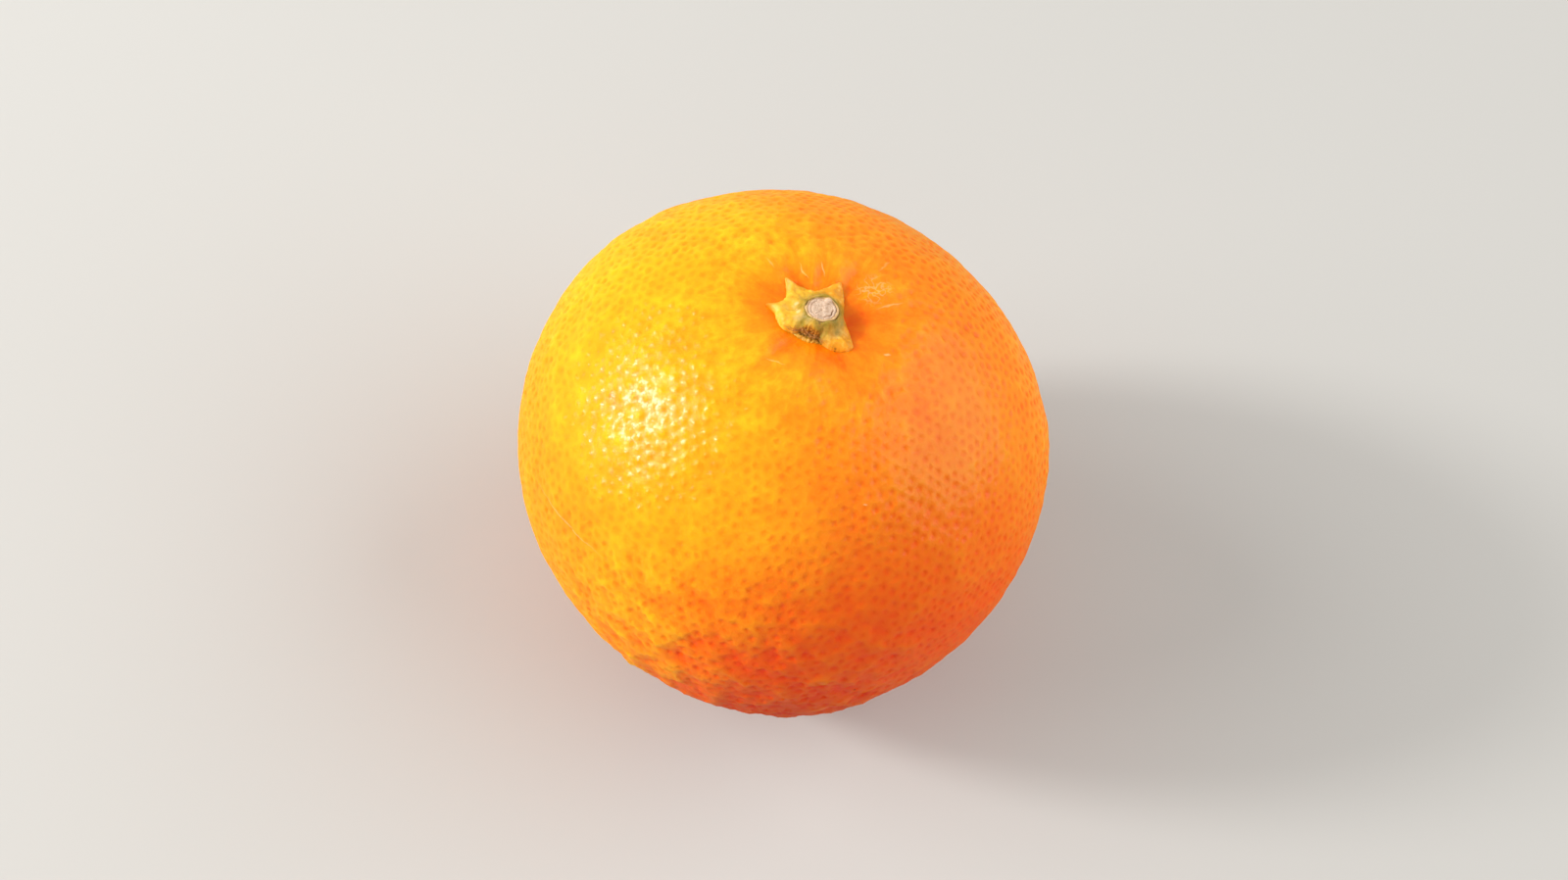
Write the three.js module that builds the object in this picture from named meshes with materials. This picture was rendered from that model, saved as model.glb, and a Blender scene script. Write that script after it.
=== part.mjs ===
// A whole sweet orange as picked, standing on its blossom end. The fruit, the calyx left
// at the stem end and the cut stub of the fruit stalk are the three things that grew as
// separate organs. Millimetres, +Z from the blossom end to the stem end, and the origin
// at the centre of the small flat spot that the fruit rests on.

import * as THREE from "three";

// ---- Driving dimensions ----
const EQUATOR_RADIUS = 38; // half of the 76 mm across the widest part
const AXIS_RADIUS = 36.8; // a sweet orange is slightly shorter than it is wide
const FOOT_RADIUS = 8; // the flat resting spot
const BASIN_DEPTH = 3.4; // the dimple that the stem grew from
const BASIN_RADIUS = 9;
const FURROW_COUNT = 10; // radial furrows that run out of the dimple
const FURROW_HEIGHT = 0.16;
const FURROW_RADIUS = 8.5; // where the furrows are deepest
const FURROW_REACH = 5; // how far they take to fade on either side of it
const STALK_RADIUS = 2.15;
const STALK_RISE = 0.25; // of the cut face above the collar around it
const CALYX_COLLAR = 2.4; // calyx thickness where it rises against the stalk
const CALYX_EDGE = 0.7; // and at the outline of its lobes
const CLEARANCE = 0.3; // left between one organ and the next

// The skin swells and flattens where the fruit pressed on its neighbours as it grew:
// the direction of each place, its height and its spread as an angle.
const SWELLINGS = [
  { azimuth: 156, elevation: 25, height: 0.95, spread: 24 },
  { azimuth: 8, elevation: 16, height: 0.45, spread: 22 },
  { azimuth: -72, elevation: -21, height: 0.5, spread: 17 },
  { azimuth: 73, elevation: 38, height: -0.4, spread: 24 },
  { azimuth: -124, elevation: -18, height: -0.7, spread: 25 },
];

// The corners of the calyx in order round the axis: the tips of its lobes and the bays
// between them. Flare bends the edge on the way to the next corner: 1 is straight, and
// above that the lobe narrows in a hollow curve to a sharper tip.
const CALYX_CORNERS = [
  { azimuth: 18, radius: 3.2, flare: 2 },
  { azimuth: 77, radius: 6.3, flare: 1.4 }, // first lobe
  { azimuth: 111, radius: 4.3, flare: 2 },
  { azimuth: 142, radius: 7, flare: 1.3 }, // second lobe
  { azimuth: 161, radius: 5.2, flare: 2.2 },
  { azimuth: 182, radius: 7, flare: 2.4 }, // third lobe
  { azimuth: 197, radius: 5.7, flare: 1 },
  { azimuth: 217, radius: 5.2, flare: 1 },
  { azimuth: 231, radius: 4.1, flare: 1 }, // the fourth lobe, torn off from here
  { azimuth: 288, radius: 3.8, flare: 1 }, // to here
  { azimuth: 320, radius: 6.1, flare: 1 }, // fifth lobe, with a broad tip
  { azimuth: 328, radius: 6.05, flare: 1.75 },
];

// ---- Fineness of the facets ----
const FRUIT_SECTORS = 80;
const CALYX_SECTORS = 90;
const CALYX_STEPS = 6;
const STALK_SECTORS = 28;

const { degToRad } = THREE.MathUtils;
const TURN = 2 * Math.PI;

// The foot is a cut through the spheroid where its radius is FOOT_RADIUS.
const CENTRE_HEIGHT = AXIS_RADIUS * Math.sqrt(1 - (FOOT_RADIUS / EQUATOR_RADIUS) ** 2);
const FOOT_ANGLE = Math.PI - Math.atan2(FOOT_RADIUS, CENTRE_HEIGHT);

const swellings = SWELLINGS.map(({ azimuth, elevation, height, spread }) => {
  const flat = Math.cos(degToRad(elevation));
  const towards = new THREE.Vector3(
    flat * Math.cos(degToRad(azimuth)),
    flat * Math.sin(degToRad(azimuth)),
    Math.sin(degToRad(elevation)),
  );
  return { towards, height, sharpness: 2 / degToRad(spread) ** 2 };
});

// The skin in the direction that leaves the centre at this angle from the stem end.
function skinPoint(angleFromStem, azimuth) {
  const direction = new THREE.Vector3(
    Math.sin(angleFromStem) * Math.cos(azimuth),
    Math.sin(angleFromStem) * Math.sin(azimuth),
    Math.cos(angleFromStem),
  );
  const across = Math.sin(angleFromStem) / EQUATOR_RADIUS;
  const along = Math.cos(angleFromStem) / AXIS_RADIUS;
  let radius = 1 / Math.hypot(across, along);
  for (const { towards, height, sharpness } of swellings) {
    radius += height * Math.exp(sharpness * (direction.dot(towards) - 1));
  }
  if (angleFromStem < Math.PI / 2) {
    const fromAxis = radius * Math.sin(angleFromStem);
    const ripple = Math.exp(-(((fromAxis - FURROW_RADIUS) / FURROW_REACH) ** 2));
    radius -= BASIN_DEPTH * Math.exp(-((fromAxis / BASIN_RADIUS) ** 2));
    radius += FURROW_HEIGHT * ripple * Math.cos(FURROW_COUNT * azimuth);
  }
  return direction.multiplyScalar(radius).setZ(direction.z + CENTRE_HEIGHT);
}

// Height of the skin at a distance from the axis, near the stem end.
function skinHeight(fromAxis, azimuth) {
  let angle = fromAxis / AXIS_RADIUS;
  for (let round = 0; round < 4; round++) {
    const point = skinPoint(angle, azimuth);
    angle *= fromAxis / Math.hypot(point.x, point.y);
  }
  return skinPoint(angle, azimuth).z;
}

// A closed body from rings of points, each ring the same number of points round the
// axis. A ring given as one point closes that end; with no such point at either end the
// last ring joins the first, as in a washer.
function closedBody(rings, sectors) {
  const positions = [];
  const starts = rings.map((ring) => {
    const start = positions.length / 3;
    for (const point of ring) positions.push(point.x, point.y, point.z);
    return start;
  });
  const isTip = (ring) => rings[ring].length === 1;
  const washer = !isTip(0) && !isTip(rings.length - 1);
  const bands = washer ? rings.length : rings.length - 1;
  const triangles = [];
  for (let band = 0; band < bands; band++) {
    const next = (band + 1) % rings.length;
    for (let sector = 0; sector < sectors; sector++) {
      const beside = (sector + 1) % sectors;
      const a = starts[band] + (isTip(band) ? 0 : sector);
      const b = starts[band] + (isTip(band) ? 0 : beside);
      const c = starts[next] + (isTip(next) ? 0 : sector);
      const d = starts[next] + (isTip(next) ? 0 : beside);
      if (!isTip(next)) triangles.push(a, c, d);
      if (!isTip(band)) triangles.push(a, d, b);
    }
  }
  const geometry = new THREE.BufferGeometry();
  geometry.setAttribute("position", new THREE.Float32BufferAttribute(positions, 3));
  geometry.setIndex(triangles);
  geometry.computeVertexNormals();
  return geometry;
}

function ringOf(sectors, pointAt) {
  return Array.from({ length: sectors }, (_, sector) => pointAt((TURN * sector) / sectors));
}

// ---- The fruit: peel, pith and flesh grown as one, with its flat resting spot ----
function fruitGeometry() {
  const rings = [[skinPoint(0, 0)]];
  const basinAngles = [1.7, 3.6, 5.5, 7.4, 9.3, 11.2, 13.2, 15.4, 18, 21, 24.5];
  for (const angle of basinAngles) {
    rings.push(ringOf(FRUIT_SECTORS, (azimuth) => skinPoint(degToRad(angle), azimuth)));
  }
  const flankStart = degToRad(basinAngles.at(-1));
  const flankSteps = 24;
  for (let step = 1; step < flankSteps; step++) {
    const angle = flankStart + ((FOOT_ANGLE - flankStart) * step) / flankSteps;
    rings.push(ringOf(FRUIT_SECTORS, (azimuth) => skinPoint(angle, azimuth)));
  }
  rings.push(ringOf(FRUIT_SECTORS, (azimuth) => new THREE.Vector3(
    FOOT_RADIUS * Math.cos(azimuth),
    FOOT_RADIUS * Math.sin(azimuth),
    0,
  )));
  rings.push([new THREE.Vector3(0, 0, 0)]);
  return closedBody(rings, FRUIT_SECTORS);
}

// ---- The calyx: five leathery lobes joined in a web round the stalk ----
function calyxRadius(azimuth) {
  const degrees = ((azimuth * 360) / TURN + 360) % 360;
  const next = CALYX_CORNERS.findIndex((corner) => corner.azimuth > degrees);
  const to = CALYX_CORNERS[Math.max(next, 0)];
  const from = CALYX_CORNERS.at(next > 0 ? next - 1 : -1);
  const share = ((degrees - from.azimuth + 360) % 360) / ((to.azimuth - from.azimuth + 360) % 360);
  const [bay, tip] = from.radius < to.radius ? [from, to] : [to, from];
  const rise = tip === to ? share : 1 - share;
  return bay.radius + (tip.radius - bay.radius) * rise ** from.flare;
}

function calyxPoint(outward, azimuth, isTop) {
  const inner = STALK_RADIUS + CLEARANCE;
  const fromAxis = inner + (calyxRadius(azimuth) - inner) * outward;
  const thickness = CALYX_EDGE + (CALYX_COLLAR - CALYX_EDGE) * (1 - outward) ** 1.5;
  const height = skinHeight(fromAxis, azimuth) + CLEARANCE + (isTop ? thickness : 0);
  return new THREE.Vector3(fromAxis * Math.cos(azimuth), fromAxis * Math.sin(azimuth), height);
}

function calyxGeometry() {
  const rings = [];
  for (let step = 0; step <= CALYX_STEPS; step++) {
    const outward = step / CALYX_STEPS;
    rings.push(ringOf(CALYX_SECTORS, (azimuth) => calyxPoint(outward, azimuth, true)));
  }
  for (let step = CALYX_STEPS; step >= 0; step--) {
    const outward = step / CALYX_STEPS;
    rings.push(ringOf(CALYX_SECTORS, (azimuth) => calyxPoint(outward, azimuth, false)));
  }
  return closedBody(rings, CALYX_SECTORS);
}

// ---- The stub of the stalk: a woody peg through the calyx, cut across ----
function stalkGeometry() {
  const base = skinPoint(0, 0).z + CLEARANCE;
  const top = skinHeight(STALK_RADIUS, 0) + CLEARANCE + CALYX_COLLAR + STALK_RISE;
  // From the middle of the cut face out over its rim and down the bark to the base.
  const profile = [
    { radius: 1.3, height: top - 0.25 },
    { radius: 1.9, height: top - 0.05 },
    { radius: 2.08, height: top - 0.1 },
    { radius: STALK_RADIUS, height: top - 0.4 },
    { radius: STALK_RADIUS, height: (top + base) / 2 },
    { radius: STALK_RADIUS, height: base },
  ];
  const rings = [[new THREE.Vector3(0, 0, top - 0.3)]];
  for (const { radius, height } of profile) {
    rings.push(ringOf(STALK_SECTORS, (azimuth) => new THREE.Vector3(
      radius * Math.cos(azimuth),
      radius * Math.sin(azimuth),
      height,
    )));
  }
  rings.push([new THREE.Vector3(0, 0, base)]);
  return closedBody(rings, STALK_SECTORS);
}

function organ(name, geometry, color, roughness) {
  const material = new THREE.MeshStandardMaterial({ color, roughness, metalness: 0 });
  const mesh = new THREE.Mesh(geometry, material);
  mesh.name = name;
  return mesh;
}

const orange = new THREE.Group();
orange.add(organ("fruit", fruitGeometry(), 0xff9d1c, 0.4));
orange.add(organ("calyx", calyxGeometry(), 0xd9ba4e, 0.6));
orange.add(organ("stalk_stub", stalkGeometry(), 0xd8b898, 0.85));

export default orange;
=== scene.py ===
# A whole sweet orange, ripe and lightly waxed, standing on its blossom end with the
# calyx and the cut stub of the stalk on top. The peel, the calyx and the stub follow in
# the order in which they would come apart, and the floor, light and camera come last.

import math
import random

import bmesh
import bpy
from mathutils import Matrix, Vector, noise
from mathutils.bvhtree import BVHTree
from mathutils.kdtree import KDTree


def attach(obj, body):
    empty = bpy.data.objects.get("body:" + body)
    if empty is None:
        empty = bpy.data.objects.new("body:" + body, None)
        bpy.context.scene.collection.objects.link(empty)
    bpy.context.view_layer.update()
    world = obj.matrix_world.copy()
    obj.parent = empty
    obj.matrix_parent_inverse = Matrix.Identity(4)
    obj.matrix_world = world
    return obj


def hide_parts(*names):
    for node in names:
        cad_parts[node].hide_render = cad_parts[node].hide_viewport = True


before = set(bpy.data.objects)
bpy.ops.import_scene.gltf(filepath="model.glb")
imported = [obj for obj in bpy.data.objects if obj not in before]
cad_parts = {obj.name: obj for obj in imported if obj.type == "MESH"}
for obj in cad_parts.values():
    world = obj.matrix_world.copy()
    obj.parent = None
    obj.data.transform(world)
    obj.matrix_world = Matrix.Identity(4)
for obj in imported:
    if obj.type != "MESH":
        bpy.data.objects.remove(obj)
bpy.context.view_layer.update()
MM = 0.001


# ---- Fruit ----
# The peel is a firm, oily rind over a spongy pith, full of round oil glands that show
# through as darker dots, each under a shallow pit. It grew as one skin round the flesh,
# so its swellings, the furrows that run into the stem and the pits are all one surface.

EQUATOR_RADIUS = 38 * MM
AXIS_RADIUS = 36.8 * MM
FOOT_RADIUS = 8 * MM
CENTRE_HEIGHT = AXIS_RADIUS * math.sqrt(1 - (FOOT_RADIUS / EQUATOR_RADIUS) ** 2)

# Where the fruit pressed on its neighbours: direction, height and spread of each place.
SWELLINGS = (
    {"azimuth": 156, "elevation": 25, "height": 0.95 * MM, "spread": 24},
    {"azimuth": 8, "elevation": 16, "height": 0.45 * MM, "spread": 22},
    {"azimuth": -72, "elevation": -21, "height": 0.5 * MM, "spread": 17},
    {"azimuth": 73, "elevation": 38, "height": -0.4 * MM, "spread": 24},
    {"azimuth": -124, "elevation": -18, "height": -0.7 * MM, "spread": 25},
)

# Ridges and hollows round the stem: bearing and distance from the axis of the middle of
# each, its height, and its reach along the bearing and across it.
FOLDS = (
    {"azimuth": 111, "radius": 8 * MM, "height": 0.6 * MM, "along": 3.5 * MM, "across": 1.4 * MM},
    {"azimuth": 130, "radius": 7.7 * MM, "height": -0.35 * MM, "along": 3 * MM, "across": 1.5 * MM},
    {"azimuth": 146, "radius": 9.5 * MM, "height": 0.3 * MM, "along": 3 * MM, "across": 1.5 * MM},
    {"azimuth": 100, "radius": 6.8 * MM, "height": -0.3 * MM, "along": 2.5 * MM, "across": 1 * MM},
    {"azimuth": 86, "radius": 8.5 * MM, "height": 0.45 * MM, "along": 3 * MM, "across": 1.8 * MM},
    {"azimuth": 67, "radius": 8 * MM, "height": -0.3 * MM, "along": 3 * MM, "across": 1.2 * MM},
    {"azimuth": 46, "radius": 9.3 * MM, "height": 0.4 * MM, "along": 3 * MM, "across": 2.2 * MM},
    {"azimuth": 15, "radius": 4.3 * MM, "height": -0.2 * MM, "along": 1.2 * MM, "across": 2.2 * MM},
    {"azimuth": 343, "radius": 5.6 * MM, "height": -0.15 * MM, "along": 1.3 * MM, "across": 1.4 * MM},
    {"azimuth": 329, "radius": 9.5 * MM, "height": 0.35 * MM, "along": 3 * MM, "across": 1.6 * MM},
    {"azimuth": 308, "radius": 7.3 * MM, "height": -0.4 * MM, "along": 2.5 * MM, "across": 1.1 * MM},
    {"azimuth": 269, "radius": 8 * MM, "height": 0.35 * MM, "along": 3.5 * MM, "across": 1.4 * MM},
    {"azimuth": 240, "radius": 7 * MM, "height": -0.3 * MM, "along": 3 * MM, "across": 1.2 * MM},
    {"azimuth": 172, "radius": 8 * MM, "height": -0.4 * MM, "along": 3.2 * MM, "across": 3.6 * MM},
)
# Ridges and hollows are painted lighter and darker by their height, as painted light and shade.
FOLD_SHADE = 0.5 * MM  # the height at which a ridge has its full change of colour

# Towards the cheek where the glands are full, and the side where the skin is coarse.
FULL_CHEEK = Vector((-0.5, -0.42, 0.76))
COARSE_SIDE = Vector((0.1, -0.97, -0.2))

# The scar where the style of the flower fell off, and how the foot turns into the sides.
SCAR_RADIUS, SCAR_FLOOR, SCAR_DEPTH = 2 * MM, 1.2 * MM, 0.35 * MM
FOOT_ROUNDING = 0.3 * MM


def add(tree, kind, feeds=(), **settings):
    """Adds a node with its settings, and feeds its inputs, in order or by name."""
    made = tree.nodes.new(kind)
    for name, value in settings.items():
        setattr(made, name, value)
    for socket, value in feeds.items() if isinstance(feeds, dict) else enumerate(feeds):
        if isinstance(value, bpy.types.NodeSocket):
            tree.links.new(value, made.inputs[socket])
        else:
            made.inputs[socket].default_value = value
    return made.outputs


def unit_direction(azimuth, elevation):
    azimuth, elevation = math.radians(azimuth), math.radians(elevation)
    flat = math.cos(elevation)
    return Vector((flat * math.cos(azimuth), flat * math.sin(azimuth), math.sin(elevation)))


def linear(hex_colour, alpha=1.0):
    """An sRGB hex colour as the linear RGBA that a socket takes."""
    channels = [int(hex_colour[i:i + 2], 16) / 255 for i in (1, 3, 5)]
    return [c / 12.92 if c <= 0.04045 else ((c + 0.055) / 1.055) ** 2.4 for c in channels] + [alpha]


skin = bpy.data.node_groups.new("Orange skin", "GeometryNodeTree")
SKIN_SIZES = {
    "Equator radius": EQUATOR_RADIUS,
    "Axis radius": AXIS_RADIUS,
    "Centre height": CENTRE_HEIGHT,
    "Gland spacing": 1.4 * MM,
    "Gland radius": 0.62 * MM,
    "Gland depth": 0.21 * MM,
    "Pebble height": 0.5 * MM,
    "Pebble width": 3.6 * MM,
    "Lump height": 0.36 * MM,
    "Lump width": 2.2 * MM,
    "Wave height": 0.35 * MM,
    "Wave width": 15 * MM,
    "Basin depth": 3.4 * MM,
    "Basin radius": 9 * MM,
    "Furrow height": 0.4 * MM,
    "Furrow radius": 8.5 * MM,
    "Furrow reach": 4.5 * MM,
}
for name, size in SKIN_SIZES.items():
    skin.interface.new_socket(name, in_out="INPUT", socket_type="NodeSocketFloat")
skin.interface.new_socket("Seed", in_out="INPUT", socket_type="NodeSocketInt")
skin.interface.new_socket("Peel", in_out="INPUT", socket_type="NodeSocketMaterial")
skin.interface.new_socket("Mesh", in_out="OUTPUT", socket_type="NodeSocketGeometry")
sizes = add(skin, "NodeGroupInput")
position = add(skin, "GeometryNodeInputPosition")[0]
outward = add(skin, "ShaderNodeVectorMath", [position], operation="NORMALIZE")[0]

# One cell of skin for each gland: points spread evenly over a unit ball, joined into
# triangles by their hull, and turned inside out into the cells round the points. The
# density is only a limit, high enough for the spacing to decide.
spacing = add(skin, "ShaderNodeMath", [sizes["Gland spacing"], sizes["Equator radius"]],
              operation="DIVIDE")[0]
ball = add(skin, "GeometryNodeMeshIcoSphere", {"Radius": 1.0, "Subdivisions": 6})["Mesh"]
points = add(skin, "GeometryNodeDistributePointsOnFaces",
             {"Mesh": ball, "Distance Min": spacing, "Density Max": 30000.0,
              "Seed": sizes["Seed"]}, distribute_method="POISSON")["Points"]
points = add(skin, "GeometryNodeSetPosition", {"Geometry": points, "Position": outward})[0]
hull = add(skin, "GeometryNodeConvexHull", [points])[0]
cells = add(skin, "GeometryNodeDualMesh", [hull])[0]

# Each cell gets two rings inside its edge, down the round sides of its pit. Each ring has
# its share of the gland's radius, and how strongly the gland's colour shows on it. No two
# glands have grown alike.
PIT_RINGS = ((0.8, 0.6), (0.32, 1.0))
vigour = add(skin, "FunctionNodeRandomValue", {"Min": 0.65, "Max": 1.05, "Seed": 5},
             data_type="FLOAT")["Value"]
held = add(skin, "GeometryNodeCaptureAttribute", domain="FACE")
held[0].node.capture_items.new("VECTOR", "Middle")
held[0].node.capture_items.new("FLOAT", "Vigour")
capture = held[0].node
skin.links.new(cells, capture.inputs["Geometry"])
skin.links.new(position, capture.inputs["Middle"])
skin.links.new(vigour, capture.inputs["Vigour"])
middle, strength = capture.outputs["Middle"], capture.outputs["Vigour"]
mesh = capture.outputs["Geometry"]
chosen = True
for share, tint in PIT_RINGS:
    depth = (1 - share ** 2) ** 2
    rim = add(skin, "GeometryNodeExtrudeMesh",
              {"Mesh": mesh, "Selection": chosen, "Offset Scale": 0.0, "Individual": True},
              mode="FACES")
    radius = add(skin, "ShaderNodeMath", [sizes["Gland radius"], sizes["Equator radius"]],
                 operation="DIVIDE")[0]
    radius = add(skin, "ShaderNodeMath", [radius, share], operation="MULTIPLY")[0]
    off = add(skin, "ShaderNodeVectorMath", [position, middle], operation="SUBTRACT")[0]
    off = add(skin, "ShaderNodeVectorMath", [off], operation="NORMALIZE")[0]
    off = add(skin, "ShaderNodeVectorMath", {0: off, "Scale": radius}, operation="SCALE")[0]
    place = add(skin, "ShaderNodeVectorMath", [middle, off], operation="ADD")[0]
    mesh = add(skin, "GeometryNodeSetPosition",
               {"Geometry": rim["Mesh"], "Selection": rim["Top"], "Position": place})[0]
    for attribute, amount in (("pit", depth), ("gland", tint)):
        value = add(skin, "ShaderNodeMath", [strength, amount], operation="MULTIPLY")[0]
        mesh = add(skin, "GeometryNodeStoreNamedAttribute",
                   {"Geometry": mesh, "Selection": rim["Top"], "Name": attribute, "Value": value},
                   data_type="FLOAT", domain="POINT")[0]
    chosen = rim["Top"]

# The shape of the whole fruit, as a distance from its centre in each direction. Each
# swelling is a bell that falls to 1/e of its height at its spread.
across = add(skin, "ShaderNodeCombineXYZ", [sizes["Equator radius"], sizes["Equator radius"],
                                            sizes["Axis radius"]])[0]
distance = add(skin, "ShaderNodeVectorMath", [outward, across], operation="DIVIDE")[0]
distance = add(skin, "ShaderNodeVectorMath", [distance], operation="LENGTH")["Value"]
distance = add(skin, "ShaderNodeMath", [1.0, distance], operation="DIVIDE")[0]
for swelling in SWELLINGS:
    towards = unit_direction(swelling["azimuth"], swelling["elevation"])
    sharpness = 2 / math.radians(swelling["spread"]) ** 2
    near = add(skin, "ShaderNodeVectorMath", [outward, towards], operation="DOT_PRODUCT")["Value"]
    near = add(skin, "ShaderNodeMath", [near, sharpness, -sharpness], operation="MULTIPLY_ADD")[0]
    near = add(skin, "ShaderNodeMath", [near], operation="EXPONENT")[0]
    distance = add(skin, "ShaderNodeMath", [near, swelling["height"], distance],
                   operation="MULTIPLY_ADD")[0]

upper = add(skin, "ShaderNodeSeparateXYZ", [outward])["Z"]
upper = add(skin, "ShaderNodeMath", [upper, 0.0], operation="GREATER_THAN")[0]
from_axis = add(skin, "ShaderNodeVectorMath", [outward, (1.0, 1.0, 0.0)],
                operation="MULTIPLY")[0]
bearing = add(skin, "ShaderNodeVectorMath", [from_axis], operation="NORMALIZE")[0]
from_axis = add(skin, "ShaderNodeVectorMath", [from_axis], operation="LENGTH")["Value"]
from_axis = add(skin, "ShaderNodeMath", [from_axis, distance], operation="MULTIPLY")[0]

# The skin turns smooth in the last few millimetres to the calyx, and is pebbled and lumpy
# on its coarse side.
calm = add(skin, "ShaderNodeMapRange",
           {"Value": from_axis, "From Min": 6 * MM, "From Max": 15 * MM, "To Min": 0.35},
           interpolation_type="SMOOTHSTEP")[0]
coarse = add(skin, "ShaderNodeVectorMath", [outward, COARSE_SIDE],
             operation="DOT_PRODUCT")["Value"]
coarse = add(skin, "ShaderNodeMapRange", {"Value": coarse, "From Min": 0.62, "From Max": 0.92})[0]
pebbled = add(skin, "ShaderNodeMapRange", {"Value": coarse, "To Min": 0.6, "To Max": 1.6})[0]
lumpy = add(skin, "ShaderNodeMapRange", {"Value": coarse, "To Min": 0.15})[0]
spot = add(skin, "ShaderNodeVectorMath", {0: outward, "Scale": sizes["Equator radius"]},
           operation="SCALE")[0]
rise = 0.0
for kind, roughness, share in (("Wave", 0.4, 1.0), ("Pebble", 0.55, pebbled),
                               ("Lump", 0.6, lumpy)):
    scale = add(skin, "ShaderNodeMath", [1.0, sizes[kind + " width"]], operation="DIVIDE")[0]
    bumps = add(skin, "ShaderNodeTexNoise",
                {"Vector": spot, "Scale": scale, "Detail": 2.0, "Roughness": roughness})[0]
    bumps = add(skin, "ShaderNodeMath", [bumps, 2.0, -1.0], operation="MULTIPLY_ADD")[0]
    bumps = add(skin, "ShaderNodeMath", [bumps, calm], operation="MULTIPLY")[0]
    bumps = add(skin, "ShaderNodeMath", [bumps, share], operation="MULTIPLY")[0]
    distance = add(skin, "ShaderNodeMath", [bumps, sizes[kind + " height"], distance],
                   operation="MULTIPLY_ADD")[0]
    if kind != "Wave":
        rise = add(skin, "ShaderNodeMath", [rise, bumps], operation="ADD")[0]
mesh = add(skin, "GeometryNodeStoreNamedAttribute",
           {"Geometry": mesh, "Name": "rise", "Value": rise}, data_type="FLOAT", domain="POINT")[0]


def bell(tree, off):
    """1 where off is 0, falling smoothly on both sides to 1/e where it is 1."""
    square = add(tree, "ShaderNodeMath", [off, off], operation="MULTIPLY")[0]
    square = add(tree, "ShaderNodeMath", [square, -1.0], operation="MULTIPLY")[0]
    return add(tree, "ShaderNodeMath", [square], operation="EXPONENT")[0]


# The basin round the stem, and the furrows that run out of it along their bearings.
basin = add(skin, "ShaderNodeMath", [from_axis, sizes["Basin radius"]], operation="DIVIDE")[0]
basin = add(skin, "ShaderNodeMath", [bell(skin, basin), sizes["Basin depth"]],
            operation="MULTIPLY")[0]
off = add(skin, "ShaderNodeMath", [from_axis, sizes["Furrow radius"]], operation="SUBTRACT")[0]
off = add(skin, "ShaderNodeMath", [off, sizes["Furrow reach"]], operation="DIVIDE")[0]
folds = add(skin, "ShaderNodeTexNoise", {"Vector": bearing, "Scale": 1.9, "Detail": 1.0})[0]
folds = add(skin, "ShaderNodeMath", [folds, 2.0, -1.0], operation="MULTIPLY_ADD")[0]
folds = add(skin, "ShaderNodeMath", [folds, sizes["Furrow height"]], operation="MULTIPLY")[0]
stem_end = add(skin, "ShaderNodeMath", [folds, bell(skin, off)], operation="MULTIPLY")[0]
stem_end = add(skin, "ShaderNodeMath", [stem_end, basin], operation="SUBTRACT")[0]
spot = add(skin, "ShaderNodeVectorMath", {0: outward, "Scale": distance}, operation="SCALE")[0]
heaped = 0.0
for fold in FOLDS:
    radial = unit_direction(fold["azimuth"], 0)
    off = add(skin, "ShaderNodeVectorMath", [spot, radial * fold["radius"]],
              operation="SUBTRACT")[0]
    along = add(skin, "ShaderNodeVectorMath", [off, radial / fold["along"]],
                operation="DOT_PRODUCT")["Value"]
    across = add(skin, "ShaderNodeVectorMath",
                 [off, Vector((-radial.y, radial.x, 0)) / fold["across"]],
                 operation="DOT_PRODUCT")["Value"]
    off = add(skin, "ShaderNodeCombineXYZ", [along, across])[0]
    off = add(skin, "ShaderNodeVectorMath", [off], operation="LENGTH")["Value"]
    heaped = add(skin, "ShaderNodeMath", [bell(skin, off), fold["height"], heaped],
                 operation="MULTIPLY_ADD")[0]
heaped = add(skin, "ShaderNodeMath", [heaped, upper], operation="MULTIPLY")[0]
stem_end = add(skin, "ShaderNodeMath", [stem_end, heaped], operation="ADD")[0]
heaped = add(skin, "ShaderNodeMath", [heaped, FOLD_SHADE], operation="DIVIDE")[0]
mesh = add(skin, "GeometryNodeStoreNamedAttribute",
           {"Geometry": mesh, "Name": "fold", "Value": heaped},
           data_type="FLOAT", domain="POINT")[0]
distance = add(skin, "ShaderNodeMath", [stem_end, upper, distance],
               operation="MULTIPLY_ADD")[0]

# The pits, and the foot pressed flat. On the full cheek the glands stand up as low domes.
full = add(skin, "ShaderNodeVectorMath", [outward, FULL_CHEEK],
           operation="DOT_PRODUCT")["Value"]
full = add(skin, "ShaderNodeMapRange", {"Value": full, "From Min": 0.86, "From Max": 0.95,
                                        "To Min": 1.0, "To Max": -0.95},
           interpolation_type="SMOOTHSTEP")[0]
pit = add(skin, "GeometryNodeInputNamedAttribute", {"Name": "pit"}, data_type="FLOAT")[0]
pit = add(skin, "ShaderNodeMath", [pit, full], operation="MULTIPLY")[0]
pit = add(skin, "ShaderNodeMath", [pit, calm], operation="MULTIPLY")[0]
pit = add(skin, "ShaderNodeMath", [pit, sizes["Gland depth"]], operation="MULTIPLY")[0]
distance = add(skin, "ShaderNodeMath", [distance, pit], operation="SUBTRACT")[0]
place = add(skin, "ShaderNodeVectorMath", {0: outward, "Scale": distance}, operation="SCALE")[0]
place = add(skin, "ShaderNodeSeparateXYZ", [place])
height = add(skin, "ShaderNodeMath", [place["Z"], sizes["Centre height"]], operation="ADD")[0]
height = add(skin, "ShaderNodeMath", [height, 0.0, FOOT_ROUNDING], operation="SMOOTH_MAX")[0]

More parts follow.
